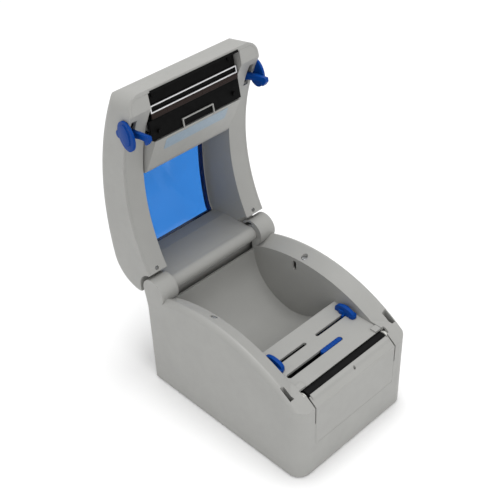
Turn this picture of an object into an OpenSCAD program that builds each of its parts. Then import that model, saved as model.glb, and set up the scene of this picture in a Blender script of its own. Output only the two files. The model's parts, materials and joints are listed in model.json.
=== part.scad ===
// Thermal label printer for 4 inch wide media, shown with its lid open.
// Origin: under the middle of the open printer, on the surface the feet stand on.
// The modules are drawn about the middle of the base, and place() moves them there.
// +X is the operator's right, -Y is the front, +Z is up.

/* [Body] */
// Width of the base and of the lid
body_w = 156; // [154:1:160]
// Depth of the base
body_d = 207; // [206:1:209]
// Wall thickness of the mouldings
wall = 2.5; // [2.2:0.1:2.6]
// Radius of the front vertical corners
corner_r = 14; // [12:1:15]
// Height of the top of the side cheeks
cheek_top = 130; // [129:0.5:131]

/* [Media] */
// Clear width of the roll bucket
bucket_w = 115; // [114:0.5:116]
// Radius of the bucket floor
bucket_r = 54; // [52:0.5:54]
// Height of the paper deck
deck_z = 96; // [95.5:0.1:96]
// Diameter of the platen roller
roller_d = 14; // [13.5:0.5:14]

/* [Lid] */
// Angle of the lid from closed
lid_open = 100; // [90:1:100]
// Height of the top of the closed lid
lid_top = 182; // [180:1:183]

/* [Hidden] */

eps = 0.01;
half_w = body_w / 2;
front_y = -body_d / 2;
back_y = body_d / 2;
foot_gap = 1.5;
half_bucket = bucket_w / 2;

// side profile of the base: an arc over the whole depth
arc_r = 189;
arc_y = 17.4;
arc_z = cheek_top - arc_r;
part_gap = 0.6;

// tops of the cheeks: rounded outside, and sloping down to the bucket, level in front at slope_floor
top_edge_r = 6;
slope_x = half_bucket + 15;
slope_d = 9;
slope_floor = deck_z + 2;

// lid hinge
hinge_y = 93;
hinge_z = 122;
ear_r = 14.5;
tube_r = 8;
hinge_pin_r = 3;
run_gap = 0.05;

// bucket
bucket_y = 36;
bucket_z = 102;
bucket_front = -23;
back_top = 102;

// paper path
roller_r = roller_d / 2;
roller_y = -88.5;
roller_z = deck_z - 0.5 - roller_r;
shaft_r = 3;
bush_r = 5;
deck_t = 3;
deck_front = -84.5;
panel_half = 56;
panel_low = 38;

// screws in the tops of the cheeks
cheek_screw_x = half_bucket + 5.5;
cheek_screw_y = 22;
cheek_screw_z = cheek_top - 9;

// gear train, on the right side inside the cheek
gear_m = 0.8;
platen_teeth = 12;
idler_teeth = 40;
pinion_teeth = 12;
gear_x = 61.2;
gear_w = 4;
idler_dist = gear_m * (platen_teeth + idler_teeth) / 2;
pinion_dist = gear_m * (pinion_teeth + idler_teeth) / 2;
idler_dir = -60;
pinion_dir = -25;
idler_y = roller_y + idler_dist * cos(idler_dir);
idler_z = roller_z + idler_dist * sin(idler_dir);
motor_y = idler_y + pinion_dist * cos(pinion_dir);
motor_z = idler_z + pinion_dist * sin(pinion_dir);
motor_side = 35;

// label guides
guide_y = -45;
guide_x = 50;
guide_travel = 34;
guide_teeth = 12;
guide_m = 1;
rack_z = 86.5;
rack_t = 3;

// sensor slider
sensor_y = -64.5;
sensor_w = 5;
sensor_len = 28;
sensor_x = 7.5;
channel_low = -53;
channel_high = 22.5;

// closed lid
lid_front = -116;
dome_r = 300;
dome_y = 66;
dome_z = lid_top - dome_r;
rear_r = 40;
rear_z = lid_top - rear_r;
edge_r = 12;
lip_z = 91;
rim_in = 55;
lid_end_dir = 76;
ear_clear = 19;
rim_screw_x = 66;
rim_screw_y = 70.5;
rim_screw_z = 126.5;

// centre of the round that joins the front face to the dome
nose_y = lid_front + edge_r;
nose_z = dome_z + sqrt(pow(dome_r - edge_r, 2) - pow(nose_y - dome_y, 2));
nose_touch_y = (nose_y - dome_y) / (dome_r - edge_r);

// the open lid reaches furthest back where its dome faces straight back
open_back_y = hinge_y + (dome_y - hinge_y) * cos(lid_open) + (dome_z - hinge_z) * sin(lid_open) + dome_r;
origin_y = (front_y + open_back_y) / 2;

// window
window_half = 47;
window_front = -21;
window_back = 78;

// print head, closed
head_half = 53;
head_z = deck_z - 0.2;
pin_x = 46;
pin_rows = [-72, -107];
spring_x = 11;

// latches
latch_x = 71.7;
latch_y = -79;
latch_z = 114;
catch_y = -75.2;
catch_z = 85.2;
latch_front = -88.4;
latch_pin_r = 1.5;

// ---------- helpers ----------

// moves the whole printer to its origin
module place() {
    translate([0, -origin_y, 0]) children();
}

// puts a drawing made in (y, z) into the model, centred on x = mid, length w
module along_x(w, mid = 0) {
    translate([mid - w / 2, 0, 0]) rotate([90, 0, 90]) linear_extrude(w) children();
}

// rod along X
module rod_x(r, x0, x1, y = 0, z = 0, fn = 48) {
    translate([x0, y, z]) rotate([0, 90, 0]) cylinder(r = r, h = x1 - x0, $fn = fn);
}

// rod along Z
module rod_z(r, z0, z1, x = 0, y = 0, fn = 48) {
    translate([x, y, z0]) cylinder(r = r, h = z1 - z0, $fn = fn);
}

module block(x0, x1, y0, y1, z0, z1) {
    translate([x0, y0, z0]) cube([x1 - x0, y1 - y0, z1 - z0]);
}

// both left and right
module both() {
    children();
    mirror([1, 0, 0]) children();
}

// the closed lid's parts, swung open about the hinge
module lid_pose() {
    translate([0, hinge_y, hinge_z]) rotate([-lid_open, 0, 0]) translate([0, -hinge_y, -hinge_z])
        children();
}

// plan of the base or lid: rounded front corners r, small rear corners
module plan(inset, y0, y1, r) {
    h = half_w - inset;
    k = max(r - inset, 1);
    rr = max(5 - inset, 1);
    translate([-h, y0 + inset + k]) square([2 * h, y1 - y0 - 2 * inset - k - rr]);
    translate([-h + k, y0 + inset]) square([2 * h - 2 * k, k + 1]);
    translate([-h + rr, y1 - inset - rr - 1]) square([2 * h - 2 * rr, rr + 1]);
    for (s = [-1, 1]) {
        translate([s * (h - k), y0 + inset + k]) circle(k, $fn = 64);
        translate([s * (h - rr), y1 - inset - rr]) circle(rr, $fn = 48);
    }
}

// side profile of the base under its arc in (y, z), inset from the outer skin
module base_profile(inset) {
    intersection() {
        translate([arc_y, arc_z]) circle(arc_r - inset, $fn = 360);
        translate([front_y - 1, foot_gap - 1]) square([body_d + 1 - inset, 200]);
    }
}

// round hinge ear with a flare up to it from the back wall, in (y, z)
module ear_profile(inset) {
    r = ear_r - inset;
    flare = 20;
    translate([hinge_y, hinge_z]) circle(r, $fn = 96);
    polygon([[70, 60], [back_y - inset, 60], [back_y - inset, hinge_z - 22 + inset],
        [hinge_y + r * cos(flare), hinge_z - r * sin(flare)], [hinge_y, hinge_z]]);
}

// revolves a section drawn in (radius, x) about the arc's axis
module about_arc() {
    translate([0, arc_y, arc_z]) rotate([0, 90, 0]) rotate_extrude($fn = 360) children();
}

// slope cut from the inner half of the cheeks' tops
module cheek_slope(inset) {
    r = arc_r - inset;
    intersection() {
        about_arc() for (s = [-1, 1])
            polygon([[r - slope_d, s * (half_bucket - 1)], [r, s * slope_x], [r + 4, s * slope_x],
                [r + 4, s * (half_bucket - 1)]]);
        block(-half_w, half_w, front_y, hinge_y, slope_floor - inset, 200);
    }
}

// whole base, inset from the outer skin
module base_body(inset) {
    h = half_w - inset;
    r = arc_r - inset;
    k = top_edge_r - inset;
    intersection() {
        translate([0, 0, inset > 0 ? 0 : foot_gap])
            linear_extrude(200) plan(inset, front_y, back_y + 20, corner_r);
        union() {
            difference() {
                intersection() {
                    along_x(body_w) base_profile(inset);
                    about_arc() {
                        translate([0, -h]) square([r - k, 2 * h]);
                        translate([0, k - h]) square([r, 2 * h - 2 * k]);
                        for (s = [-1, 1]) translate([r - k, s * (h - k)]) circle(k, $fn = 48);
                    }
                }
                cheek_slope(inset);
            }
            along_x(2 * h) ear_profile(inset);
        }
    }
}

// space taken by the roll bucket, grown by g
module bucket_space(g) {
    h = half_bucket + g;
    along_x(2 * h) {
        translate([bucket_y, bucket_z]) circle(bucket_r + g, $fn = 180);
        translate([bucket_front - g, deck_z - deck_t - 22]) square([80, 200]);
        translate([bucket_y, bucket_z]) square([bucket_r + g, 80]);
    }
}

// trapezoidal spur gear, axis along Z, lower face at z = 0, one tooth centred on angle 0
module spur(teeth, m, w, bore) {
    rp = teeth * m / 2;
    ro = rp + 0.72 * m;
    ri = rp - 1.05 * m;
    p = 360 / teeth;
    difference() {
        linear_extrude(w) union() {
            circle(ri + 0.05, $fn = 64);
            for (i = [0 : teeth - 1]) rotate(i * p)
                polygon([[ri - 0.4, -ri * sin(p * 0.29)], [ri, -ri * sin(p * 0.29)], [rp,
                    -rp * sin(p * 0.2)],
                    [ro, -ro * sin(p * 0.1)], [ro, ro * sin(p * 0.1)], [rp, rp * sin(p * 0.2)],
                    [ri, ri * sin(p * 0.29)], [ri - 0.4, ri * sin(p * 0.29)]]);
        }
        translate([0, 0, -1]) cylinder(r = bore, h = w + 2, $fn = 32);
    }
}

// gear with its axis along X, turned so that a tooth or a gap points along dir
module gear_along_x(teeth, x, y, z, dir, bore) {
    translate([x, y, z]) rotate([dir, 0, 0]) rotate([90, 0, 90]) spur(teeth, gear_m, gear_w, bore);
}

// helical compression spring along Z: mean radius r, wire radius q
module coil(r, q, turns, h) {
    sides = 6;
    per = 16;
    n = turns * per;
    pts = [for (i = [0 : n]) for (k = [0 : sides - 1])
        let (a = 360 * i / per, b = 360 * k / sides, d = r + q * cos(b))
        [d * cos(a), d * sin(a), q + (h - 2 * q) * i / n + q * sin(b)]];
    skin = [for (i = [0 : n - 1]) for (k = [0 : sides - 1])
        let (k2 = (k + 1) % sides)
        [i * sides + k, i * sides + k2, (i + 1) * sides + k2, (i + 1) * sides + k]];
    polyhedron(points = pts, faces = concat([[for (k = [0 : sides - 1]) k]], skin,
        [[for (k = [sides - 1 : -1 : 0]) n * sides + k]]));
}

// pan head screw pointing down, head bottom at z = 0
module screw(l, d = 3) {
    difference() {
        union() {
            cylinder(d = 1.9 * d, h = 0.7 * d, $fn = 32);
            translate([0, 0, -l]) cylinder(d = d, h = l + eps, $fn = 24);
        }
        for (a = [0, 90]) rotate(a) translate([-0.7 * d, -0.25, 0.35 * d]) cube([1.4 * d, 0.5, d]);
    }
}

// slot with round ends, cut along X at height z0 to z1
module slot_x(x0, x1, y, w, z0, z1) {
    block(x0 + w / 2, x1 - w / 2, y - w / 2, y + w / 2, z0, z1);
    for (x = [x0 + w / 2, x1 - w / 2]) rod_z(w / 2, z0, z1, x, y, 32);
}

// ---------- base ----------

foot_spots = [[-54, -86], [54, -86], [-54, 90], [54, 90]];
boss_spots = [[-66, -84], [66, -84], [-68, 84], [68, 84]];

module base_shell() color([0.63, 0.63, 0.61]) {
    difference() {
        union() {
            difference() {
                base_body(0);
                // hollow inside the skin, leaving the bucket's walls
                difference() {
                    base_body(wall);
                    bucket_space(wall);
                    // inner walls of the cheeks beside the deck
                    both() block(half_bucket, half_bucket + wall, front_y, bucket_front, 40, 200);
                    // blocks round the hinge pins
                    both() rod_x(9, half_bucket, half_bucket + 11, hinge_y, hinge_z);
                    // pockets under the latch slots
                    both() block(latch_x - 3.9, half_w, latch_y - 13.5, latch_y + 13.5, 74, 200);
                    for (p = boss_spots) rod_z(4, 4, 40, p[0], p[1]);
                    // bosses of the cheek screws
                    both() rod_z(5.4, 108, 200, cheek_screw_x, cheek_screw_y);
                    for (p = boss_spots) block(p[0] - 1, p[0] + 1, p[1], sign(p[1]) * 110, 4, 40);
                }
                bucket_space(0);
                // well above the deck and the front panel
                block(-half_bucket, half_bucket, front_y - 1, bucket_front - wall, 66, 200);
                block(-half_bucket, half_bucket, bucket_front - wall - 1, bucket_front + 1,
                    deck_z - deck_t, 200);
                // low back between the hinge ears
                block(-half_bucket, half_bucket, 70, 130, back_top, 200);
            }
            // ledges that carry the deck
            both() block(half_bucket - 3, half_bucket + 1, deck_front + 7, bucket_front - 0.2, 88,
                deck_z - deck_t);
        }
        // opening of the front panel
        block(-panel_half - 0.25, panel_half + 0.25, front_y - 1, front_y + wall + 0.2,
            panel_low - 0.25, 200);
        block(-half_bucket, half_bucket, front_y - 1, front_y + wall + 1, 80, 200);
        // latch slots, with a ledge behind that the hooks catch
        both() block(latch_x - 2.4, latch_x + 2.6, latch_front, catch_y, catch_z - eps, 200);
        both() block(latch_x - 2.4, latch_x + 2.6, latch_front, latch_y + 12, 75.5, catch_z);
        // hole for the motor's boss
        rod_x(10.3, half_bucket - 1, half_bucket + wall + 1, motor_y, motor_z);
        // room for the platen gear under the skin
        rod_x(5.8, gear_x - 0.6, gear_x + gear_w + 1.6, roller_y, roller_z);
        // platen bearings
        rod_x(bush_r, -half_bucket - 5, half_bucket + 5, roller_y, roller_z);
        // loading notches above the bearings
        both() block(half_bucket - 1, half_bucket + wall + 0.1, roller_y - shaft_r - 0.6,
            roller_y + shaft_r + 0.6,
            roller_z, 200);
        // hinge pins
        rod_x(hinge_pin_r, -half_bucket - 9, half_bucket + 9, hinge_y, hinge_z);
        // oval windows in the bucket walls
        both() {
            for (z = [108.5, 115]) rod_x(2.4, half_bucket - 1, half_bucket + wall + 0.5, 31, z);
            block(half_bucket - 1, half_bucket + wall + 0.5, 28.6, 33.4, 108.5, 115);
        }
        // screw wells in the cheeks
        both() rod_z(3.4, cheek_screw_z, 150, cheek_screw_x, cheek_screw_y);
        both() rod_z(1.4, 110, 140, cheek_screw_x, cheek_screw_y);
        // connectors and switch at the back
        block(-50, 50, back_y - wall - 1, back_y + 1, 14, 40);
        // bottom cover screws
        for (p = boss_spots) rod_z(1.35, 0, 30, p[0], p[1]);
    }
}

module bottom_cover() color([0.5, 0.5, 0.49]) {
    difference() {
        union() {
            translate([0, 0, foot_gap]) linear_extrude(2.4) plan(wall + 0.25, front_y, back_y, corner_r);
            // posts for the board
            for (x = [-52, 52], y = [-30, 80]) rod_z(3.5, foot_gap, 9, x, y);
            // stiffening ribs
            for (x = [-30, 0, 30]) block(x - 0.8, x + 0.8, -90, 90, 3.5, 6.5);
        }
        for (p = boss_spots) rod_z(1.7, 0, 10, p[0], p[1]);
        for (p = foot_spots) rod_z(6.2, 0, foot_gap + 1.2, p[0], p[1]);
        for (x = [-52, 52], y = [-30, 80]) rod_z(1.25, 4, 10, x, y);
    }
}

module front_deck() color([0.64, 0.64, 0.62]) {
    difference() {
        union() {
            block(-half_bucket + 0.2, half_bucket - 0.2, deck_front, bucket_front, deck_z - deck_t, deck_z);
            // apron down in front of the gears and behind the roller
            block(-half_bucket + 0.2, half_bucket - 0.2, deck_front + 4.5, deck_front + 6.5, 76,
                deck_z - 1);
            // raised pads beside the roller ends
            both() block(half_bucket - 8, half_bucket - 0.2, deck_front, deck_front + 7, deck_z - 1,
                deck_z + 1.6);
        }
        // slots of the label guides
        both() slot_x(guide_x - guide_travel - 9, half_bucket - 5, guide_y, 4, deck_z - 5, deck_z + 1);
        // clearance round the roller
        rod_x(roller_r + 0.6, -half_bucket, half_bucket, roller_y, roller_z);
        // channel of the sensor
        slot_x(channel_low, channel_high, sensor_y, sensor_w + 0.8, deck_z - 5, deck_z + 1);
        // rounded rear edge
        difference() {
            block(-60, 60, bucket_front - 2, bucket_front + 1, deck_z - 2, deck_z + 1);
            rod_x(2, -61, 61, bucket_front - 2, deck_z - 2);
        }
    }
}

module front_panel() color([0.64, 0.64, 0.62]) {
    difference() {
        union() {
            intersection() {
                block(-panel_half, panel_half, front_y, front_y + 12, panel_low, 110);
                along_x(body_w) difference() {
                    base_profile(0);
                    // hollow behind the skin
                    difference() {
                        translate([front_y + wall, 0]) square([30, 200]);
                        translate([arc_y, arc_z]) difference() {
                            circle(arc_r, $fn = 360);
                            circle(arc_r - wall, $fn = 360);
                        }
                    }
                }
            }
            // raised lip beside the roller
            along_x(2 * panel_half - 4) polygon([[front_y + 4.5, 84], [front_y + 4.5, 89.5],
                [front_y + 6.7, 93.2],
                [front_y + 9, 94.6], [front_y + 11.3, 94.6], [front_y + 11.3, 84]]);
            // clips behind the lower edge
            for (x = [-40, 0, 40]) block(x - 5, x + 5, front_y + wall - eps, front_y + wall + 1.6,
                panel_low + 2, panel_low + 14);
        }
        // clearance round the roller
        rod_x(roller_r + 0.6, -panel_half - 1, panel_half + 1, roller_y, roller_z);
        // sight hole of the label sensor
        translate([3, front_y + 6, 80]) cylinder(r = 1.3, h = 40, $fn = 24);
    }
}

// ---------- paper drive ----------

module platen_roller() color([0.05, 0.05, 0.05]) difference() {
    rod_x(roller_r, -54.5, 54.5, roller_y, roller_z, 96);
    rod_x(shaft_r, -60, 60, roller_y, roller_z);
}

module platen_shaft() color([0.75, 0.75, 0.76]) {
    rod_x(shaft_r, -63, gear_x + gear_w + 1, roller_y, roller_z);
    // collars that keep the roller between the bearings
    for (s = [-1, 1]) rod_x(shaft_r + 1, s * 55.6 - 0.6, s * 55.6 + 0.6, roller_y, roller_z);
}

module platen_bearings() color([0.86, 0.86, 0.84]) both() difference() {
    union() {
        rod_x(bush_r, half_bucket - 0.6, half_bucket + wall, roller_y, roller_z);
        rod_x(bush_r + 1, half_bucket - 0.9, half_bucket - 0.05, roller_y, roller_z);
    }
    rod_x(shaft_r + run_gap, half_bucket - 2, half_bucket + 5, roller_y, roller_z);
}

// the tooth phase makes a tooth of one gear meet a gap of the next
module platen_gear() color([0.85, 0.85, 0.82])
    gear_along_x(platen_teeth, gear_x, roller_y, roller_z, idler_dir, shaft_r);

module idler_gear() color([0.85, 0.85, 0.82])
    gear_along_x(idler_teeth, gear_x, idler_y, idler_z, idler_dir + 180 / idler_teeth, 2 + run_gap);

module idler_post() color([0.72, 0.72, 0.73]) {
    rod_x(2, half_bucket + wall, gear_x + gear_w + 0.8, idler_y, idler_z);
    rod_x(3.4, half_bucket + wall, gear_x - 0.3, idler_y, idler_z);
    rod_x(3, gear_x + gear_w + 0.3, gear_x + gear_w + 0.8, idler_y, idler_z);
}

pinion_phase = pinion_dir + 180 + 180 / pinion_teeth
    + (pinion_dir - idler_dir - 180 / idler_teeth) * idler_teeth / pinion_teeth;

module motor_pinion() color([0.78, 0.66, 0.36])
    gear_along_x(pinion_teeth, gear_x, motor_y, motor_z, pinion_phase, 1.5);

module motor_shaft() color([0.75, 0.75, 0.76]) rod_x(1.5, 38, gear_x + gear_w + 1.5, motor_y, motor_z, 32);

module stepper_motor() color([0.28, 0.28, 0.29]) difference() {
    union() {
        for (x = [[28, 34], [49, 55]]) translate([0, motor_y, motor_z]) difference() {
            block(x[0], x[1], -motor_side / 2, motor_side / 2, -motor_side / 2, motor_side / 2);
            for (a = [45 : 90 : 315]) rotate([a, 0, 0]) block(x[0] - 1, x[1] + 1, motor_side * 0.655,
                40, -20, 20);
        }
        rod_x(motor_side / 2 - 0.6, 33.9, 49.1, motor_y, motor_z, 64);
        rod_x(10, 54.9, 56.5, motor_y, motor_z);
        block(30, 44, motor_y + 12, motor_y + 20, motor_z - 6, motor_z + 6);
    }
    rod_x(1.5 + run_gap, 30, 60, motor_y, motor_z, 32);
}

module motor_bracket() color([0.7, 0.71, 0.72]) difference() {
    union() {
        block(55.2, 57.2, motor_y - 20, motor_y + 18, motor_z - 20, motor_z + 4);
        rod_x(17, 55.2, 57.2, motor_y, motor_z);
        block(44, 57.2, motor_y - 20, motor_y + 18, motor_z - 21.5, motor_z - 19.5);
    }
    rod_x(10.3, 50, 60, motor_y, motor_z);
}

// ---------- label guides and sensor ----------

guide_pitch_r = guide_teeth * guide_m / 2;
guide_front_rack = guide_y - guide_pitch_r;

// toothed bar along X under the deck, teeth towards +Y, from x0 to x1
module rack(x0, x1, phase) {
    p = PI * guide_m;
    block(x0, x1, -4.6, -1.05 * guide_m, 0, rack_t);
    first = ceil((x0 + 1 - phase) / p);
    last = floor((x1 - 1 - phase) / p);
    linear_extrude(rack_t) for (i = [first : last]) translate([phase + i * p, 0])
        polygon([[-0.29 * p, -1.05 * guide_m - 0.3], [-0.29 * p, -1.05 * guide_m], [-0.2 * p, 0],
            [-0.11 * p, 0.7 * guide_m], [0.11 * p, 0.7 * guide_m], [0.2 * p, 0],
            [0.29 * p, -1.05 * guide_m], [0.29 * p, -1.05 * guide_m - 0.3]]);
}

// left guide: paddle above the deck, web through the slot, rack below; side = -1 turns its paddle end for end
module guide(side) {
    difference() {
        union() {
            along_x(4, -guide_x) {
                translate([guide_y + side * 0.5 - 11.5, deck_z + 0.3]) square([23, 3.5]);
                translate([guide_y + side * 0.5, deck_z + 3.8]) scale([1, 0.5]) circle(11.5, $fn = 64);
            }
            // finger pads
            rod_z(5.5, deck_z + 0.3, deck_z + 4.7, -guide_x - 2, guide_y + side * 4);
            rod_z(4, deck_z + 0.3, deck_z + 3.7, -guide_x - 1.5, guide_y - side * 8);
        }
        block(-120, 60, -60, -30, 0, deck_z + 0.25);
        block(-half_bucket - 20, -half_bucket + 0.6, -70, -20, 0, 200);
    }
    // web in the slot, and its foot
    block(-guide_x - 1, -guide_x + 5, guide_y - 1, guide_y + 1, rack_z + rack_t - eps, deck_z + 1);
    block(-guide_x - 1, -guide_x + 5, guide_front_rack - 3, guide_y + 1,
        rack_z + rack_t - 1, rack_z + rack_t + 1.4);
    translate([0, guide_front_rack, rack_z]) rack(-guide_x - 1, 3, PI * guide_m / 2);
}

module label_guide_left() color([0.02, 0.27, 0.6]) guide(1);

// the right guide is the left one turned half a turn about the pinion
module label_guide_right() color([0.02, 0.27, 0.6])
    translate([0, 2 * guide_y, 0]) rotate(180) guide(-1);

module guide_pinion() color([0.85, 0.85, 0.82])
    translate([0, guide_y, rack_z]) rotate(90) spur(guide_teeth, guide_m, rack_t, 1.5 + run_gap);

module sensor_slider() color([0.02, 0.27, 0.6]) {
    intersection() {
        slot_x(sensor_x - sensor_len / 2, sensor_x + sensor_len / 2, sensor_y, sensor_w, deck_z - 6,
            deck_z + 1);
        union() {
            block(-100, 100, -100, 0, deck_z - 5.8, deck_z + 0.4);
            for (i = [-2 : 2]) rod_y_bar(sensor_x + 4 * i, deck_z + 0.3);
        }
    }
    // foot under the deck
    block(sensor_x - 12, sensor_x + 12, sensor_y - 4, sensor_y + 4, deck_z - 5.8, deck_z - 3.6);
}

// grip rib across the slider
module rod_y_bar(x, z) {
    translate([x, -80, z]) rotate([-90, 0, 0]) cylinder(r = 0.6, h = 40, $fn = 24);
}

module sensor_board() color([0.05, 0.3, 0.15]) {
    block(sensor_x - 9, sensor_x + 9, sensor_y - 3.5, sensor_y + 3.5, deck_z - 7, deck_z - 5.8);
    block(sensor_x - 3, sensor_x + 3, sensor_y - 2, sensor_y + 2, deck_z - 8.6, deck_z - 7);
}

module sensor_tray() color([0.2, 0.2, 0.2]) difference() {
    block(channel_low - 1.2, channel_high + 5, sensor_y - 6.3, sensor_y + 6.3, 84, deck_z - deck_t);
    block(channel_low, channel_high + 3.8, sensor_y - 4.6, sensor_y + 4.6, 85, deck_z);
}

// tray under the deck that guides the racks and carries the pinion's post
module guide_carrier() color([0.05, 0.05, 0.05]) {
    reach = guide_pitch_r + 5.5;
    difference() {
        block(-54.2, 54.2, guide_y - reach - 1.2, guide_y + reach + 1.2, 84, deck_z - deck_t);
        block(-53, 53, guide_y - reach, guide_y + reach, 85.2, deck_z);
    }
    rod_z(3, 85, rack_z - 0.2, 0, guide_y);
    rod_z(1.5, 85, rack_z + rack_t + 1, 0, guide_y, 32);
}

// ---------- electronics ----------

board_z = 9;

module main_board() color([0.05, 0.3, 0.15]) difference() {
    block(-58, 58, -36, 90, board_z, board_z + 1.6);
    for (x = [-52, 52], y = [-30, 80]) rod_z(1.7, 0, 20, x, y);
}

module processor_chip() color([0.06, 0.06, 0.07]) {
    block(-12, 8, 10, 30, board_z + 1.6, board_z + 3.4);
    block(18, 30, 12, 20, board_z + 1.6, board_z + 3.2);
    block(-38, -24, 0, 10, board_z + 1.6, board_z + 3.2);
}

module board_capacitors() color([0.1, 0.12, 0.2])
    for (p = [[38, 60], [38, 46], [-40, -20], [28, -22]]) rod_z(5, board_z + 1.6, board_z + 18, p[0], p[1]);

module data_connectors() color([0.72, 0.73, 0.74]) {
    // square data socket
    difference() {
        block(-40, -28, 84, back_y - 0.4, board_z + 7, board_z + 18);
        block(-38.6, -29.4, 90, back_y + 1, board_z + 8.4, board_z + 16.6);
    }
    block(-37, -31, 90, 100, board_z + 10.6, board_z + 14);
    block(-40, -28, 84, 92, board_z + 1.6, board_z + 7);
    // nine-way socket with its two posts
    difference() {
        block(-20, 12, 86, back_y - 0.4, board_z + 6.5, board_z + 19);
        block(-12.6, 4.6, 95, back_y + 1, board_z + 8.5, board_z + 17);
    }
    for (i = [0 : 4]) translate([-9.5 + 2.75 * i, 94.5, board_z + 14.6])
        rotate([-90, 0, 0]) cylinder(r = 0.6, h = 5, $fn = 16);
    for (i = [0 : 3]) translate([-8.1 + 2.75 * i, 94.5, board_z + 11])
        rotate([-90, 0, 0]) cylinder(r = 0.6, h = 5, $fn = 16);
    block(-20, 12, 86, 92, board_z + 1.6, board_z + 6.5);
}

module power_jack() color([0.08, 0.08, 0.08]) difference() {
    union() {
        block(20, 31, 84, back_y - 0.4, board_z + 5.2, board_z + 17);
        block(20, 31, 84, back_y - wall - 0.4, board_z + 1.6, board_z + 5.3);
    }
    translate([25.5, 92, board_z + 11]) rotate([-90, 0, 0]) difference() {
        cylinder(r = 3.3, h = 20, $fn = 32);
        cylinder(r = 1.1, h = 8, $fn = 24);
    }
}

module connector_plate() color([0.22, 0.22, 0.23]) difference() {
    block(-49.8, 49.8, back_y - 3.4, back_y - 1, 14.2, 39.8);
    block(-40.3, -27.7, 90, 110, board_z + 6.7, board_z + 18.3);
    block(-20.3, 12.3, 90, 110, board_z + 6.2, board_z + 19.3);
    block(19.7, 31.3, 90, 110, 10, board_z + 17.3);
    block(36.5, 47.5, 90, 110, 17.5, 34.5);
}

// rocker pivots on a pin line along X at the plate
switch_y = back_y - 3.5;
switch_z = 26;

module power_switch() color([0.06, 0.06, 0.06]) intersection() {
    block(37, 47, 92, 112, 17, 35);
    translate([37, switch_y, switch_z]) rotate([90, 0, 90]) linear_extrude(10) {
        circle(4, $fn = 48);
        polygon([[0, -7.6], [3.4, -7.4], [2.6, 0], [5.2, 7.2], [1.6, 7.8], [-3, 3], [-3, -3]]);
    }
}

module rubber_feet() color([0.09, 0.09, 0.09])
    for (p = foot_spots) difference() {
        rod_z(6.1, 0, foot_gap + 1.2, p[0], p[1]);
        rod_z(2, -1, 0.8, p[0], p[1]);
    }

module case_screws() color([0.7, 0.71, 0.72]) {
    for (p = boss_spots) translate([p[0], p[1], foot_gap - 0.1]) mirror([0, 0, 1]) difference() {
        union() {
            translate([0, 0, -12]) cylinder(r = 1.35, h = 12, $fn = 24);
            translate([0, 0, -2.2]) cylinder(r = 1.7, h = 2.3, $fn = 24);
        }
        for (a = [0, 90]) rotate(a) translate([-1, -0.2, -0.6]) cube([2, 0.4, 2]);
    }
    for (x = [-52, 52], y = [-30, 80]) translate([x, y, board_z + 1.6]) screw(6, 2.5);
    both() translate([cheek_screw_x, cheek_screw_y, cheek_screw_z]) screw(10, 2.8);
}

module hinge_pins() color([0.75, 0.75, 0.76]) both()
    rod_x(hinge_pin_r, 44, half_bucket + 9, hinge_y, hinge_z);

// ---------- lid, drawn closed ----------

// side profile of the lid in (y, z), inset from the outer skin
module lid_profile(inset) {
    f = lid_front + inset;
    difference() {
        union() {
            intersection() {
                translate([dome_y, dome_z]) circle(dome_r - inset, $fn = 360);
                translate([f, 60]) square([dome_y - f, 200]);
            }
            translate([dome_y, rear_z]) circle(rear_r - inset, $fn = 120);
            translate([dome_y - 1, 60]) square([rear_r - inset + 1, rear_z - 60]);
        }
        // rounded top front edge, tangent to the front face and to the dome
        difference() {
            translate([f - 1, nose_z]) square([nose_y + nose_touch_y * (edge_r - inset) - f + 1, 40]);
            translate([nose_y, nose_z]) circle(edge_r - inset, $fn = 64);
        }
    }
}

// dome with rounded long edges: a rounded section swept about the dome's own centre
module lid_section(inset, r) {
    h = half_w - inset;
    k = edge_r - inset;
    translate([0, -h]) square([r - inset - k, 2 * h]);
    translate([0, -h + k]) square([r - inset, 2 * h - 2 * k]);
    for (s = [-1, 1]) translate([r - inset - k, s * (h - k)]) circle(k, $fn = 64);
}

module lid_dome(inset) {
    // main dome, front to top
    translate([0, dome_y, dome_z]) rotate([0, 90, 0]) rotate([0, 0, 180])
        rotate_extrude(angle = 45, $fn = 360) translate([0, 0]) lid_section(inset, dome_r);
    // rear corner
    translate([0, dome_y, rear_z]) rotate([0, 90, 0]) rotate([0, 0, 90])
        rotate_extrude(angle = 90, $fn = 180) lid_section(inset, rear_r);
}

// solid that fills the lid's outline, inset from the outer skin
module lid_solid(inset) {
    intersection() {
        along_x(body_w) lid_profile(inset);
        translate([0, 0, 50]) linear_extrude(200) plan(inset, lid_front, dome_y + rear_r + 6, corner_r);
        union() {
            lid_dome(inset);
            block(-half_w + inset, half_w - inset, dome_y - 10, dome_y + rear_r - edge_r, 100, rear_z);
        }
    }
}

// space below the parting arc, in front of the lip and round the hinge ears
module lid_cut(g) {
    along_x(body_w + 4) {
        translate([arc_y, arc_z]) circle(arc_r + part_gap + g, $fn = 360);
        translate([lid_front - 20, 0]) square([60, lip_z + g]);
        translate([hinge_y, hinge_z]) circle(ear_clear + g, $fn = 96);
        // everything behind the radial line from the hinge
        translate([hinge_y, hinge_z]) rotate(lid_end_dir) translate([-10, -80 - g]) square([90, 80]);
    }
}

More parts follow.
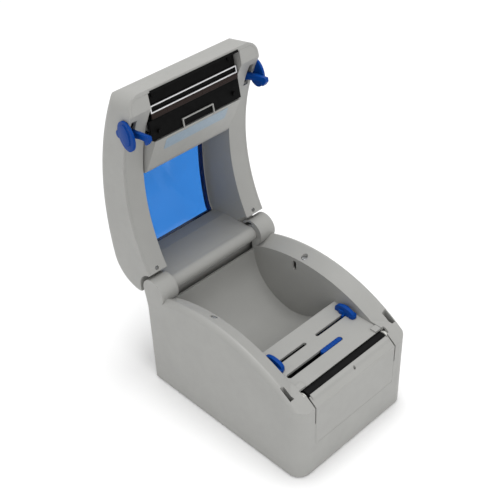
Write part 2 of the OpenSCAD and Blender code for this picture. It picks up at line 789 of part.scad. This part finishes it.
module lid_shell() color([0.63, 0.63, 0.61]) lid_pose() difference() {
    union() {
        difference() {
            lid_solid(0);
            lid_solid(wall);
        }
        intersection() {
            lid_solid(0.5);
            union() {
                // lip floor in front of the head
                block(-100, 100, lid_front, -112.5, 60, lip_z + wall);
                // bosses of the head's guide pins, its springs and the button board
                both() for (y = pin_rows) rod_z(3.5, 114, 180, pin_x, y);
                both() rod_z(5, 118.3, 180, spring_x, roller_y);
                for (x = [21, 50]) rod_z(2, 114.6, 180, x, -99);
            }
        }
    }
    both() for (y = pin_rows) rod_z(1.5, 110, 120, pin_x, y);
    lid_cut(0);
    // window opening
    block(-window_half, window_half, window_front, window_back, 150, 200);
    // holes for the lever barrels
    both() rod_x(4.4, half_w - wall - 1, half_w + 1, latch_y, latch_z);
    // feed button and lens holes on the front slope
    rod_z(6.3, 120, 150, 40, -95);
    rod_z(2.3, 120, 150, 22, -93, 32);
}

module lid_frame() color([0.62, 0.62, 0.6]) lid_pose() {
    difference() {
        union() {
            // rim faces and inner walls
            difference() {
                lid_solid(wall + 0.1);
                lid_cut(0);
                // hollow rims
                difference() {
                    both() block(rim_in + wall, half_w, -112, 120, 60, 200);
                    along_x(200) difference() {
                        translate([arc_y, arc_z]) circle(arc_r + part_gap + 3, $fn = 360);
                        translate([-130, 0]) square([260, 60]);
                    }
                    // floor of the rims in front, level with the lip
                    block(-half_w, half_w, -140, -76, lip_z, lip_z + 3);
                    // bosses of the rim screws
                    both() rod_z(4, 110, 145, rim_screw_x, rim_screw_y);
                    along_x(200) translate([hinge_y, hinge_z]) circle(ear_clear + 3, $fn = 96);
                    // blocks that hold the lever pins
                    both() rod_x(4, rim_in, rim_in + 6, latch_y, latch_z);
                }
                // open middle
                difference() {
                    block(-rim_in, rim_in, -200, 200, 0, 300);
                    rear_panel();
                }
                // room for the lip of the shell
                block(-200, 200, -200, -112.4, 0, 300);
            }
            rod_x(tube_r, -half_bucket + 0.5, half_bucket - 0.5, hinge_y, hinge_z, 64);
            rear_panel();
            // webs that close the rims' ends beside the ears
            both() along_x(2.2, rim_in + 1.1) translate([hinge_y, hinge_z])
                polygon([for (a = [0, 66, 92, 118]) a == 0 ? [0, 0] : (ear_clear + 4) * [cos(a), sin(a)]]);
        }
        // hinge pin bores
        both() rod_x(hinge_pin_r + run_gap, 43, 60, hinge_y, hinge_z);
        // lever openings
        both() block(latch_x - 3, latch_x + 3, latch_y - 13, latch_y + 10, 60, 112);
        both() rod_x(latch_pin_r, rim_in + 1, rim_in + 8, latch_y, latch_z);
        // small screw wells at the rear of the rims
        both() rod_z(2.3, 100, rim_screw_z, rim_screw_x, rim_screw_y);
        both() rod_z(1.5, 100, rim_screw_z + 12, rim_screw_x, rim_screw_y);
    }
}

// inner rear panel: from the hinge tube up to the window's rear edge
module rear_panel() {
    intersection() {
        along_x(2 * rim_in + 2) polygon([[hinge_y - tube_r, hinge_z], [hinge_y - tube_r + 3, hinge_z + 2],
            [window_back + 4, 159], [window_back + 4, 176], [window_back + 1, 176], [window_back + 1,
                158]]);
        lid_solid(wall + 0.1);
    }
}

module lid_window() color([0.2, 0.5, 0.8, 0.6]) lid_pose() {
    // plate behind the opening
    intersection() {
        difference() {
            lid_solid(wall + 0.1);
            lid_solid(wall + 2.3);
        }
        block(-window_half - 5, window_half + 5, window_front - 3, window_back + 0.5, 130, 200);
    }
    // raised field that fills the opening
    intersection() {
        difference() {
            lid_solid(0.2);
            lid_solid(wall + 0.2);
        }
        block(-window_half + 0.2, window_half - 0.2, window_front + 0.2, window_back - 0.2, 130, 200);
    }
}

// ---------- print head, closed ----------

module head_cover() color([0.6, 0.6, 0.58]) lid_pose() difference() {
    union() {
        intersection() {
            lid_solid(wall + 0.15);
            difference() {
            along_x(2 * head_half) head_cover_outline(0);
            along_x(2 * head_half - 2 * wall) head_cover_outline(wall);
            }
        }
        // frame round the cable opening
        difference() {
            block(-19, 19, -73, -62, 97.2, 98.7);
            block(-18, 18, -72, -50, 90, 110);
        }
    }
    block(-60, 60, -64, -20, 60, 98.2);
}

module head_cover_outline(inset)
    polygon([[-64 + inset, 98 + 1.6 * inset], [-64 + inset, 170], [-27 - inset, 170],
        [-26 - inset, 126 + inset], [-30 - inset, 121.2 + inset]]);

module head_bracket() color([0.04, 0.04, 0.04]) lid_pose() difference() {
    union() {
        // plate above the head
        block(-head_half - 1.5, head_half + 1.5, -111.5, -65.2, 101, 103);
        // front and rear lips
        block(-head_half - 1.5, head_half + 1.5, -111.5, -109.5, 96.5, 103);
        block(-head_half - 1.5, head_half + 1.5, -84, -65.2, 99, 101.2);
    }
    both() for (y = pin_rows) rod_z(1.6, 90, 120, pin_x, y);
}

module head_heatsink() color([0.05, 0.05, 0.05]) lid_pose() difference() {
    block(-head_half + 1, head_half - 1, -109.2, deck_front - 0.3, 97.6, 100.9);
    // clear of the front pair of guide pins
    both() rod_z(2.7, 90, 110, pin_x, pin_rows[1]);
}

// ceramic strip with its heater line over the roller
module print_head() color([0.2, 0.12, 0.08]) lid_pose() {
    block(-head_half + 0.6, head_half - 0.6, -91, -86, head_z + 0.3, 97.5);
    rod_x(0.4, -head_half + 2, head_half - 2, roller_y, head_z + 0.5);
}

// bright frame round the driver cover
module head_trim() color([0.75, 0.75, 0.75]) lid_pose() difference() {
    block(-head_half + 0.6, head_half - 0.6, -98.4, -91.2, head_z + 0.3, 97.5);
    block(-head_half + 1.8, head_half - 1.8, -97.2, -92.4, head_z - 1, 99);
}

module head_springs() color([0.6, 0.61, 0.62]) lid_pose()
    for (x = [-spring_x, spring_x]) translate([x, roller_y, 103.1]) coil(4, 0.5, 6, 15);

module head_guide_pins() color([0.72, 0.72, 0.73]) lid_pose() both()
    for (y = pin_rows) {
        rod_z(1.5, 97, 120, pin_x, y);
        rod_z(2.2, 96.6, 98, pin_x, y);
    }

module tear_bar() color([0.7, 0.71, 0.72]) lid_pose()
    intersection() {
        block(-head_half, head_half, -115, -111.8, lip_z - 0.8, lip_z);
        union() {
            block(-60, 60, -114, -111, 80, 100);
            for (i = [-52 : 2 : 52]) translate([i, -114, 80]) rotate(45) cube([1.3, 1.3, 20],
                center = false);
        }
    }

// ---------- latches ----------

// right lever, closed: paddle outside, barrel on the pin, hook down into the base
module lever() difference() {
    union() {
        // paddle with a raised thumb rest
        translate([half_w + 0.5, latch_y - 1.5, 100.5]) rotate([0, 90, 0]) rotate(-5) {
            scale([0.72, 1, 1]) cylinder(r = 14.3, h = 2.6, $fn = 72);
            translate([0, -1, 2.5]) scale([0.42, 0.78, 1]) cylinder(r = 13.3, h = 1.1, $fn = 72);
        }
        // barrel on the pivot pin
        rod_x(4, latch_x - 2, half_w + 0.6, latch_y, latch_z);
        // hook, thin across the slot
        along_x(4, latch_x) polygon([[latch_y - 4, latch_z], [latch_y - 3.5, 92], [latch_y - 2.5, 78],
            [latch_y + 1.5, 78], [latch_y + 5.8, 82.5], [latch_y + 5.8, 84.6], [latch_y + 2.2, 84.6],
            [latch_y + 1.8, 92], [latch_y + 4, latch_z]]);
    }
    rod_x(latch_pin_r + run_gap, latch_x - 6, half_w - 0.9, latch_y, latch_z);
}

module latch_lever_right() color([0.02, 0.27, 0.6]) lid_pose() lever();
module latch_lever_left() color([0.02, 0.27, 0.6]) lid_pose() mirror([1, 0, 0]) lever();

module latch_pins() color([0.75, 0.75, 0.76]) lid_pose() both()
    rod_x(latch_pin_r, rim_in + 1, half_w - 1, latch_y, latch_z, 32);

module latch_springs() color([0.6, 0.61, 0.62]) lid_pose()
    both() translate([rim_in + 6.5, latch_y, latch_z]) rotate([0, 90, 0]) coil(2.4, 0.35, 6, 6);

// ---------- controls on the lid ----------

module feed_button() color([0.02, 0.27, 0.6]) lid_pose() {
    intersection() {
        rod_z(6, 118, 145, 40, -95);
        along_x(200) translate([dome_y, dome_z]) circle(dome_r + 0.8, $fn = 360);
    }
    rod_z(7.2, 117, 119, 40, -95);
}

module status_lens() color([0.3, 0.8, 0.4]) lid_pose() intersection() {
    rod_z(2.2, 116, 145, 22, -93, 32);
    along_x(200) translate([dome_y, dome_z]) circle(dome_r + 0.3, $fn = 360);
}

module button_board() color([0.05, 0.3, 0.15]) lid_pose() {
    block(18, 53, -102, -88, 113, 114.6);
    block(37, 43, -98, -92, 114.6, 115.8);
}

module lid_screws() color([0.7, 0.71, 0.72]) lid_pose()
    both() translate([rim_screw_x, rim_screw_y, rim_screw_z]) mirror([0, 0, 1]) screw(7, 2.3);

place() base_shell();
place() bottom_cover();
place() front_deck();
place() front_panel();
place() platen_roller();
place() platen_shaft();
place() platen_bearings();
place() platen_gear();
place() idler_gear();
place() idler_post();
place() motor_pinion();
place() motor_shaft();
place() stepper_motor();
place() motor_bracket();
place() label_guide_left();
place() label_guide_right();
place() guide_pinion();
place() guide_carrier();
place() sensor_slider();
place() sensor_board();
place() sensor_tray();
place() main_board();
place() processor_chip();
place() board_capacitors();
place() data_connectors();
place() power_jack();
place() connector_plate();
place() power_switch();
place() rubber_feet();
place() case_screws();
place() hinge_pins();
place() lid_shell();
place() lid_frame();
place() lid_window();
place() head_cover();
place() head_bracket();
place() head_heatsink();
place() print_head();
place() head_trim();
place() head_springs();
place() head_guide_pins();
place() tear_bar();
place() latch_lever_left();
place() latch_lever_right();
place() latch_pins();
place() latch_springs();
place() feed_button();
place() status_lens();
place() button_board();
place() lid_screws();
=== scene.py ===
import json
import math

import bmesh
import bpy
from mathutils import Matrix, Vector


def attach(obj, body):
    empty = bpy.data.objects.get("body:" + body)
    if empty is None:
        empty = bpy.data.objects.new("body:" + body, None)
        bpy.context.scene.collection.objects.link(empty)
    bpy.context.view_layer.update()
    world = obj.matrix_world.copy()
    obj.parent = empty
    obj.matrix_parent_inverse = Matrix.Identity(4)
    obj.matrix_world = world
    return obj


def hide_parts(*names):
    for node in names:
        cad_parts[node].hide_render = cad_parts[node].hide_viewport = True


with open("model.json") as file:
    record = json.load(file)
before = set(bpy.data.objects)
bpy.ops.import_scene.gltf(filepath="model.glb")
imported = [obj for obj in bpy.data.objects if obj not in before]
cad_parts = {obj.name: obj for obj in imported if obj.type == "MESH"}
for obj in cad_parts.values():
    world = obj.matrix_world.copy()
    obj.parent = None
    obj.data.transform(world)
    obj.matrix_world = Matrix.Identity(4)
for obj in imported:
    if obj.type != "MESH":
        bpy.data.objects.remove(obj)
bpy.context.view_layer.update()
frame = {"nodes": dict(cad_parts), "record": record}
nodes = frame["nodes"]

MM = 0.001
SLOT_OF = {entry["node"]: entry["material_slot"] for entry in frame["record"]["subparts"]}
BODY_OF = {node: body for body, held in frame["record"]["behaviour"]["bodies"].items()
           for node in held}


# ---------------------------------------------------------------- materials

BEVEL_SAMPLES = 6
# dot product of the rounded and the true normal: fully worn edge, and unworn flat
EDGE_WORN, EDGE_UNWORN = 0.72, 0.97
SMOOTHEST = 0.02


class Shader:
    """A principled material whose textures use the row frame's own coordinates."""

    def __init__(self, name, color, roughness, metallic=0.0, **sockets):
        self.material = bpy.data.materials.new(name)
        self.material.use_nodes = True
        self.tree = self.material.node_tree
        self.bsdf = self.tree.nodes["Principled BSDF"]
        self.bsdf.inputs["Base Color"].default_value = (*color, 1.0)
        self.bsdf.inputs["Roughness"].default_value = roughness
        self.bsdf.inputs["Metallic"].default_value = metallic
        for key, value in sockets.items():
            self.bsdf.inputs[key.replace("_", " ")].default_value = value
        self.color = color
        self.roughness = roughness
        self.place = self.node("ShaderNodeTexCoord").outputs["Object"]
        self.normal = None

    def node(self, kind, **values):
        made = self.tree.nodes.new(kind)
        for key, value in values.items():
            setattr(made, key, value)
        return made

    def link(self, a, b):
        self.tree.links.new(a, b)

    def scaled(self, factor):
        """The base colour made lighter or darker, as RGBA."""
        return (*[min(c * factor, 1) for c in self.color], 1)

    def noise(self, size, detail, roughness=0.5, stretch=(1, 1, 1)):
        """Noise whose features are about size metres across."""
        mapping = self.node("ShaderNodeMapping")
        mapping.inputs["Scale"].default_value = stretch
        self.link(self.place, mapping.inputs["Vector"])
        noise = self.node("ShaderNodeTexNoise")
        noise.inputs["Scale"].default_value = 1.0 / size
        noise.inputs["Detail"].default_value = detail
        noise.inputs["Roughness"].default_value = roughness
        self.link(mapping.outputs["Vector"], noise.inputs["Vector"])
        return noise.outputs["Fac"]

    def spread(self, value, low, high, start=0.3, end=0.7):
        """Maps a texture value from start..end onto low..high."""
        remap = self.node("ShaderNodeMapRange")
        remap.inputs["From Min"].default_value = start
        remap.inputs["From Max"].default_value = end
        remap.inputs["To Min"].default_value = low
        remap.inputs["To Max"].default_value = high
        self.link(value, remap.inputs["Value"])
        return remap.outputs["Result"]

    def bevel(self, radius):
        """The normal that the surface would have with its edges rounded over radius metres."""
        bevel = self.node("ShaderNodeBevel", samples=BEVEL_SAMPLES)
        bevel.inputs["Radius"].default_value = radius
        return bevel.outputs["Normal"]

    def tone(self, value, amount):
        """Varies the base colour's brightness by plus or minus amount."""
        mix = self.node("ShaderNodeMix", data_type="RGBA")
        mix.inputs["A"].default_value = self.scaled(1 - amount)
        mix.inputs["B"].default_value = self.scaled(1 + amount)
        self.link(self.spread(value, 0, 1), mix.inputs["Factor"])
        self.link(mix.outputs["Result"], self.bsdf.inputs["Base Color"])

    def wear(self, radius, lighter):
        """Rubs the edges of a toned colour lighter, in patches, over radius metres."""
        geometry = self.node("ShaderNodeNewGeometry")
        dot = self.node("ShaderNodeVectorMath", operation="DOT_PRODUCT")
        self.link(self.bevel(radius), dot.inputs[0])
        self.link(geometry.outputs["Normal"], dot.inputs[1])
        edge = self.spread(dot.outputs["Value"], 1.0, 0.0, EDGE_WORN, EDGE_UNWORN)
        patches = self.spread(self.noise(6 * MM, 4, 0.6), 0.15, 1.0, 0.4, 0.6)
        both = self.node("ShaderNodeMath", operation="MULTIPLY")
        self.link(edge, both.inputs[0])
        self.link(patches, both.inputs[1])
        mix = self.node("ShaderNodeMix", data_type="RGBA")
        socket = self.bsdf.inputs["Base Color"]
        self.link(socket.links[0].from_socket, mix.inputs["A"])
        mix.inputs["B"].default_value = self.scaled(1 + lighter)
        self.link(both.outputs["Value"], mix.inputs["Factor"])
        self.link(mix.outputs["Result"], socket)

    def gloss(self, value, amount):
        """Varies the roughness by plus or minus amount."""
        low, high = max(self.roughness - amount, SMOOTHEST), min(self.roughness + amount, 1)
        self.link(self.spread(value, low, high), self.bsdf.inputs["Roughness"])

    def soften(self, radius):
        """Rounds the shading of sharp edges. The next bump carries it to the surface."""
        self.normal = self.bevel(radius)

    def bump(self, value, height, strength=1.0):
        """Raises the surface by height metres where the texture is light."""
        bump = self.node("ShaderNodeBump")
        bump.inputs["Strength"].default_value = strength
        bump.inputs["Distance"].default_value = height
        self.link(value, bump.inputs["Height"])
        if self.normal:
            self.link(self.normal, bump.inputs["Normal"])
        self.normal = bump.outputs["Normal"]
        self.link(self.normal, self.bsdf.inputs["Normal"])


ALONG_X = (0.03, 1, 1)
SPARK_GRAIN = 0.5 * MM


def moulded(name, color, roughness, depth=0.03 * MM, **sockets):
    """Moulded plastic: fine spark-eroded grain, slow tone drift, rubbed edges, handling marks."""
    s = Shader(name, color, roughness, **sockets)
    s.tone(s.noise(40 * MM, detail=3), amount=0.025)
    s.wear(0.5 * MM, lighter=0.22)
    s.soften(0.6 * MM)
    s.gloss(s.noise(9 * MM, detail=5), amount=0.06)
    s.bump(s.noise(12 * MM, detail=2), height=0.04 * MM, strength=0.4)
    s.bump(s.noise(SPARK_GRAIN, detail=2), height=depth)
    return s.material


def metal(name, color, roughness, stretch=(1, 1, 1)):
    """Metal with fine brushing, drawn out along one axis if stretch says so."""
    s = Shader(name, color, roughness, metallic=1.0)
    s.tone(s.noise(14 * MM, detail=3), amount=0.06)
    s.soften(0.25 * MM)
    lines = s.noise(0.25 * MM, detail=3, stretch=stretch)
    s.gloss(lines, amount=0.09)
    s.bump(lines, height=0.012 * MM)
    return s.material


def rubber(name, color, roughness):
    """Ground rubber: fine grinding marks along X and a faint bloom."""
    s = Shader(name, color, roughness, Specular_IOR_Level=0.08)
    s.tone(s.noise(5 * MM, detail=4), amount=0.2)
    s.soften(0.3 * MM)
    s.gloss(s.noise(3 * MM, detail=4), amount=0.08)
    s.bump(s.noise(0.25 * MM, detail=3, stretch=ALONG_X), height=0.02 * MM)
    return s.material


def black_paint():
    """Baked black finish, worn a little on its edges."""
    s = Shader("black_paint", (0.003, 0.003, 0.003), 0.55, Specular_IOR_Level=0.06)
    s.tone(s.noise(8 * MM, detail=4), amount=0.25)
    s.wear(0.3 * MM, lighter=2.0)
    s.soften(0.4 * MM)
    s.gloss(s.noise(5 * MM, detail=4), amount=0.08)
    s.bump(s.noise(0.7 * MM, detail=3), height=0.02 * MM)
    return s.material


def circuit_board():
    """Green board, mottled like tracks under solder resist."""
    s = Shader("circuit_board", (0.012, 0.11, 0.05), 0.35)
    s.tone(s.noise(2.2 * MM, detail=6, roughness=0.7), amount=0.3)
    s.bump(s.noise(1.1 * MM, detail=2), height=0.03 * MM)
    return s.material


def acrylic():
    """Clear blue sheet, very slightly wavy."""
    s = Shader("window_acrylic", (0.034, 0.20, 0.60), 0.08, IOR=1.49, Transmission_Weight=1.0)
    s.tone(s.noise(60 * MM, detail=2), amount=0.08)
    s.gloss(s.noise(7 * MM, detail=5), amount=0.05)
    s.bump(s.noise(22 * MM, detail=2), height=0.04 * MM, strength=0.5)
    return s.material


def label_film():
    """Matt film with a faint paper tooth."""
    s = Shader("label_film", (0.25, 0.32, 0.385), 0.45)
    s.tone(s.noise(3 * MM, detail=5, roughness=0.7), amount=0.07)
    s.gloss(s.noise(2 * MM, detail=4), amount=0.08)
    s.bump(s.noise(0.3 * MM, detail=3), height=0.01 * MM)
    return s.material


black_plastic = moulded("black_plastic", (0.008, 0.008, 0.008), 0.5, Specular_IOR_Level=0.3)
white_acetal = moulded("white_acetal", (0.72, 0.72, 0.68), 0.4, depth=0.01 * MM)
zinc = metal("zinc_plate", (0.58, 0.59, 0.6), 0.34)
aluminium = metal("bright_aluminium", (0.72, 0.72, 0.73), 0.3, ALONG_X)

MATERIALS = {
    "casing": moulded("casing_grey", (0.322, 0.321, 0.307), 0.5),
    "casing_dark": moulded("casing_dark_grey", (0.16, 0.16, 0.155), 0.55),
    "blue_plastic": moulded("blue_plastic", (0.0005, 0.045, 0.25), 0.4, depth=0.008 * MM,
                            Specular_IOR_Level=0.12),
    "ceramic": moulded("glazed_ceramic", (0.016, 0.008, 0.006), 0.3, depth=0.003 * MM,
                       Specular_IOR_Level=0.15),
    "lens": moulded("lens", (0.35, 0.6, 0.4), 0.15),
    "window_blue": acrylic(),
    "board_green": circuit_board(),
    "black_paint": black_paint(),
    "rubber_black": rubber("ground_rubber", (0.005, 0.005, 0.005), 0.55),
    "rubber_feet": rubber("foot_rubber", (0.02, 0.02, 0.02), 0.75),
    "steel": metal("turned_steel", (0.62, 0.62, 0.62), 0.28, ALONG_X),
    "brass": metal("machined_brass", (0.72, 0.5, 0.2), 0.3),
    "steel_zinc": zinc,
    "connector_steel": zinc,
    "aluminium": aluminium,
    "head_silver": aluminium,
    "bush_white": white_acetal,
    "gear_white": white_acetal,
    "black_plastic": black_plastic,
    "chip_black": black_plastic,
    "capacitor": black_plastic,
    "motor_black": black_plastic,
}

for name, slot in SLOT_OF.items():
    data = nodes[name].data
    data.materials.clear()
    data.materials.append(MATERIALS[slot])


# ---------------------------------------------------------------- detailed pieces

WELD = 0.002 * MM
FLAT = math.radians(0.5)
SHARP = math.radians(35)
ROUNDING_SEGMENTS = 3
# width of the rounding on each small moulded piece
ROUNDED = {
    "latch_lever_left": 0.5 * MM,
    "latch_lever_right": 0.5 * MM,
    "label_guide_left": 0.5 * MM,
    "label_guide_right": 0.5 * MM,
    "sensor_slider": 0.3 * MM,
    "feed_button": 0.4 * MM,
    "rubber_feet": 0.4 * MM,
}


def add_piece(name, mesh, body):
    piece = bpy.data.objects.new(name, mesh)
    bpy.context.scene.collection.objects.link(piece)
    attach(piece, body)
    return piece


def rounded_copy(name, width):
    """Stands in for a CAD node with a copy whose sharp edges are rounded in the mesh."""
    mesh = nodes[name].data.copy()
    mesh.name = name + "_rounded"
    work = bmesh.new()
    work.from_mesh(mesh)
    bmesh.ops.remove_doubles(work, verts=work.verts, dist=WELD)
    bmesh.ops.dissolve_limit(work, angle_limit=FLAT, verts=work.verts, edges=work.edges)
    for face in work.faces:
        face.smooth = True
    work.to_mesh(mesh)
    work.free()
    piece = add_piece(name + "_rounded", mesh, BODY_OF[name])
    bevel = piece.modifiers.new("rounding", "BEVEL")
    bevel.width = width
    bevel.segments = ROUNDING_SEGMENTS
    bevel.limit_method = "ANGLE"
    bevel.angle_limit = SHARP
    bevel.harden_normals = True
    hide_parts(name)


for name, width in ROUNDED.items():
    rounded_copy(name, width)

LABEL_LEFT, LABEL_RIGHT, LABEL_TALL = -39 * MM, 38 * MM, 15 * MM
LABEL_BELOW = 3.2 * MM     # from the top edge of the face
LABEL_CORNER = 1.5 * MM
LABEL_SUNK = 0.1 * MM      # underside, inside the cover
LABEL_PROUD = 0.25 * MM
CORNER_STEPS = 6


def widest_face(mesh):
    """Normal and points of the largest flat face that is turned towards the front, not the sides."""
    forward, sideways, one_plane = -0.3, 0.05, 0.9995
    area = {}
    for face in mesh.polygons:
        if face.normal.y < forward and abs(face.normal.x) < sideways:
            key = tuple(round(c, 2) for c in face.normal)
            area[key] = area.get(key, 0) + face.area
    normal = Vector(max(area, key=area.get)).normalized()
    held = {i for face in mesh.polygons if face.normal.dot(normal) > one_plane
            for i in face.vertices}
    return normal, [mesh.vertices[i].co.copy() for i in held]


def rounded_rectangle(left, right, low, high, corner):
    """Outline points, anticlockwise from the right-hand end of the top right corner's arc."""
    outline = []
    for x, v, inward_x, inward_v, start in ((right, high, -1, -1, 0), (left, high, 1, -1, 90),
                                            (left, low, 1, 1, 180), (right, low, -1, 1, 270)):
        for step in range(CORNER_STEPS + 1):
            turn = math.radians(start + 90 / CORNER_STEPS * step)
            outline.append((x + inward_x * corner + corner * math.cos(turn),
                            v + inward_v * corner + corner * math.sin(turn)))
    return outline


def blank_label():
    """Blank pale blue film on the head cover's sloping face, below the head."""
    normal, points = widest_face(nodes["head_cover"].data)
    up = Vector((1, 0, 0)).cross(normal).normalized()
    if up.z < 0:
        up = -up
    high = max(p.dot(up) for p in points) - LABEL_BELOW
    reach = max(p.dot(normal) for p in points)
    outline = rounded_rectangle(LABEL_LEFT, LABEL_RIGHT, high - LABEL_TALL, high, LABEL_CORNER)
    work = bmesh.new()
    under, over = [[work.verts.new(Vector((x, 0, 0)) + up * v + normal * (reach + lift))
                    for x, v in outline] for lift in (-LABEL_SUNK, LABEL_PROUD)]
    work.faces.new(under)
    work.faces.new(over)
    for i in range(len(outline)):
        j = (i + 1) % len(outline)
        work.faces.new((under[i], under[j], over[j], over[i]))
    bmesh.ops.recalc_face_normals(work, faces=work.faces)
    mesh = bpy.data.meshes.new("blank_label")
    work.to_mesh(mesh)
    work.free()
    mesh.materials.append(label_film())
    add_piece("blank_label", mesh, BODY_OF["head_cover"])


blank_label()


# ---------------------------------------------------------------- floor, light, camera

FLOOR_SIZE = 12
LIT_POINT = (0, 0, 0.12)
SENSOR_WIDTH = 36.0
FAR_CLIP = 20


def floor():
    bpy.ops.mesh.primitive_plane_add(size=FLOOR_SIZE)
    plane = bpy.context.object
    plane.name = "floor"
    s = Shader("floor_white", (0.97, 0.97, 0.97), 0.95)
    s.tone(s.noise(0.6, detail=2), amount=0.005)
    plane.data.materials.append(s.material)


def soft_light(name, place, size, power):
    data = bpy.data.lights.new(name, "AREA")
    data.shape = "DISK"
    data.size = size
    data.energy = power
    lamp = bpy.data.objects.new(name, data)
    bpy.context.scene.collection.objects.link(lamp)
    lamp.location = place
    aim = Vector(LIT_POINT) - Vector(place)
    lamp.rotation_euler = aim.to_track_quat("-Z", "Y").to_euler()


def white_world(level):
    made = bpy.data.worlds.new("studio")
    bpy.context.scene.world = made
    made.use_nodes = True
    background = made.node_tree.nodes["Background"]
    background.inputs["Color"].default_value = (1, 1, 1, 1)
    background.inputs["Strength"].default_value = level


def camera(azimuth, elevation, roll, place, lens, shift):
    """Camera at place, looking back along azimuth and elevation. Angles in degrees."""
    a, e, k = (math.radians(v) for v in (azimuth, elevation, roll))
    back = Vector((math.sin(a) * math.cos(e), -math.cos(a) * math.cos(e), math.sin(e)))
    level = (-back).cross(Vector((0, 0, 1))).normalized()
    upright = level.cross(-back)
    right = level * math.cos(k) + upright * math.sin(k)
    up = upright * math.cos(k) - level * math.sin(k)
    data = bpy.data.cameras.new("camera")
    data.lens, data.sensor_width = lens, SENSOR_WIDTH
    data.shift_x, data.shift_y = shift
    data.clip_end = FAR_CLIP
    made = bpy.data.objects.new("camera", data)
    made.matrix_world = Matrix.Translation(place) @ Matrix((right, up, back)).transposed().to_4x4()
    bpy.context.scene.collection.objects.link(made)
    bpy.context.scene.camera = made


floor()
white_world(level=0.8)
soft_light("key", place=(0.1, 0.1, 2.0), size=0.9, power=16)
soft_light("fill", place=(-0.6, -1.6, 1.1), size=1.2, power=6)
bpy.context.scene.view_settings.view_transform = "Standard"
camera(azimuth=-44.7, elevation=39.8, roll=-1.3, place=(-0.5224, -0.5445, 0.7507),
       lens=71.78, shift=(-0.0354, 0.0688))
